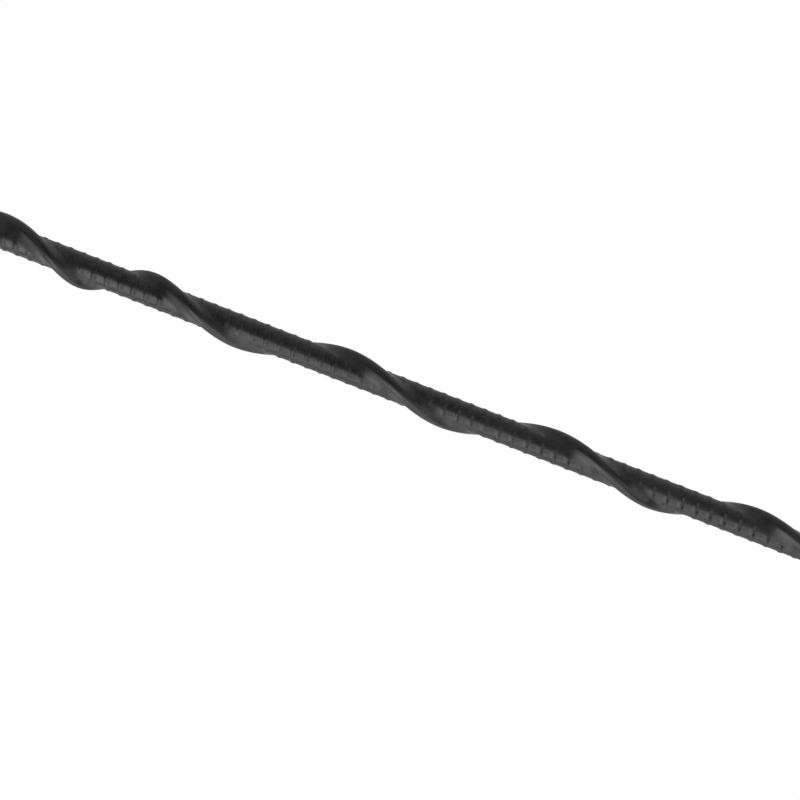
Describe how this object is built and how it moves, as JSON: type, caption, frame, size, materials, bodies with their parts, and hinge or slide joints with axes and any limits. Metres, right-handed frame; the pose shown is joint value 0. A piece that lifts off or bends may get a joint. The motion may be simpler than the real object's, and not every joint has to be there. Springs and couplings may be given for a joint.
{
  "type": "car antenna mast",
  "caption": "Black screw-in whip mast for a car roof aerial: a wound wire under a ridged plastic skin with one spiral fin, a rubber grip and a metal foot with a threaded stud.",
  "frame": {"origin": "centre of the seat under the metal foot, at the root of the threaded stud", "axes": "+Z runs along the mast from the seat to the tip; the stud points down -Z; X and Y are square to the mast"},
  "size_m": [0.012, 0.012, 0.339],
  "materials": {
    "plated_metal": "turned and nickel plated, fine lathe lines",
    "glass_fibre": "pale straw, satin",
    "solder": "dull grey, flowed",
    "copper_wire": "enamelled copper",
    "skin_plastic": "black, satin, smooth",
    "grip_rubber": "black, matt, moulded",
    "cap_plastic": "black, satin, moulded"
  },
  "bodies": {
    "root": {"threaded_ferrule": "plated_metal", "core_rod": "glass_fibre", "solder_joint": "solder", "aerial_winding": "copper_wire", "mast_sheath": "skin_plastic", "root_sleeve": "grip_rubber", "tip_cap": "cap_plastic"}
  },
  "joints": []
}
